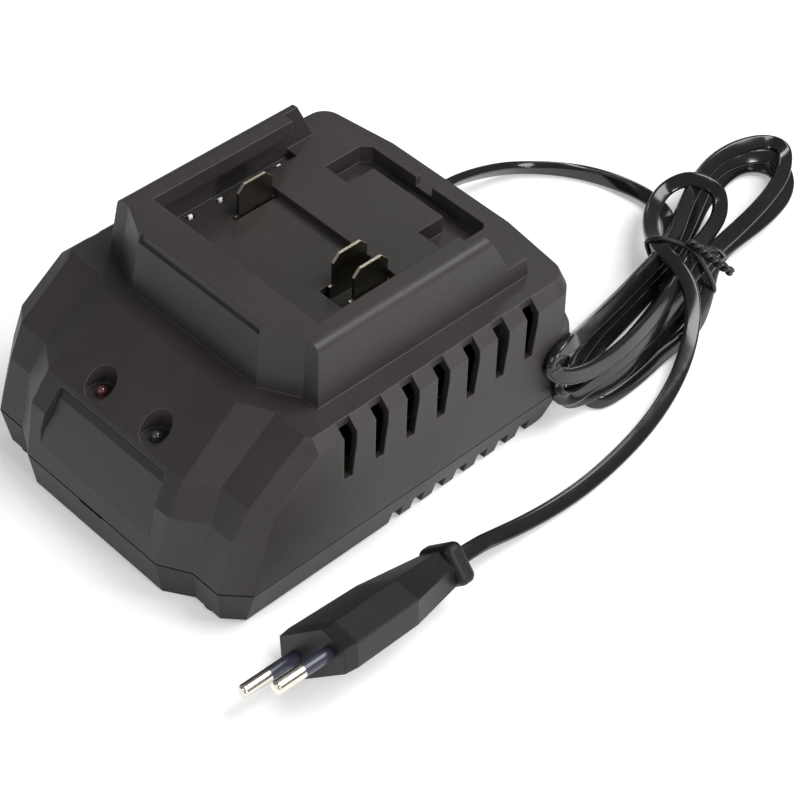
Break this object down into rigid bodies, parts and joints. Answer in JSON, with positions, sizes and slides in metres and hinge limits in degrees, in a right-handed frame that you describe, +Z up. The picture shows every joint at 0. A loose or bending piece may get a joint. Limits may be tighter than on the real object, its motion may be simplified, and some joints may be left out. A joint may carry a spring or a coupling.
{
  "type": "battery_charger",
  "caption": "Cordless tool battery charger in black plastic with a slide-on dock, three blade terminals, side vents, two indicator wells and a flat mains lead tied in a hank",
  "frame": {"origin": "middle of the charger's own box, at the bottom of its feet", "axes": "+Z up, +X to the right of the charger seen from its sloping front, +Y from the front to the rear"},
  "size_m": [0.149, 0.2859, 0.0727],
  "materials": {
    "housing": "fine moulded texture, charcoal black",
    "rubber": "soft black rubber",
    "cord_pvc": "glossy black vinyl",
    "plug_plastic": "matt black vinyl",
    "sleeve": "smooth dark insulation",
    "nickel": "bright nickel plate",
    "terminal": "nickel-washed brass, stamped",
    "steel": "zinc-plated steel",
    "aluminium": "plain aluminium",
    "board": "green solder mask on glass fibre",
    "black_part": "moulded epoxy",
    "ferrite": "sintered ferrite, dark grey",
    "copper": "enamelled copper wire",
    "bobbin": "black nylon",
    "can_sleeve": "dark blue shrink sleeve",
    "yellow_box": "yellow film capacitor case",
    "blue_disc": "blue ceramic dip",
    "fuse_glass": "clear glass tube",
    "wire_red": "red wire insulation",
    "wire_brown": "brown wire insulation",
    "lens_red": "red epoxy lens",
    "lens_green": "pale green epoxy lens",
    "white_nylon": "white nylon",
    "tie_plastic": "black plastic-coated wire"
  },
  "bodies": {
    "root": {"upper_housing": "housing", "lower_housing": "housing", "rubber_feet": "rubber", "cord_clamp": "black_part", "clamp_screws": "steel", "strain_relief": "plug_plastic", "housing_screws": "steel", "transformer_core": "ferrite", "transformer_bobbin": "bobbin", "transformer_winding": "copper", "fuse": "fuse_glass", "choke_core": "ferrite", "choke_winding": "copper", "suppression_capacitor": "yellow_box", "bridge_rectifier": "black_part", "bulk_capacitor": "can_sleeve", "heat_sink": "aluminium", "power_transistor": "black_part", "heat_sink_screw": "steel", "output_heat_plate": "aluminium", "output_diode": "black_part", "filter_capacitors": "can_sleeve", "filter_coil": "copper", "controller_chip": "black_part", "optocoupler": "black_part", "safety_capacitor": "blue_disc", "led_red": "lens_red", "led_green": "lens_green", "led_spacers": "white_nylon", "led_leads": "steel", "terminal_left": "terminal", "terminal_middle": "terminal", "terminal_right": "terminal", "terminal_carrier": "black_part", "terminal_screws": "steel", "terminal_wires": "wire_red", "mains_leads": "wire_brown", "circuit_board": "board", "board_screws": "steel", "plug_body": "plug_plastic", "plug_pins": "nickel", "pin_sleeves": "sleeve", "cord_inner": "cord_pvc", "cord_lead": "cord_pvc", "cord_hank": "cord_pvc", "cord_tail": "cord_pvc", "twist_tie": "tie_plastic"}
  },
  "joints": []
}
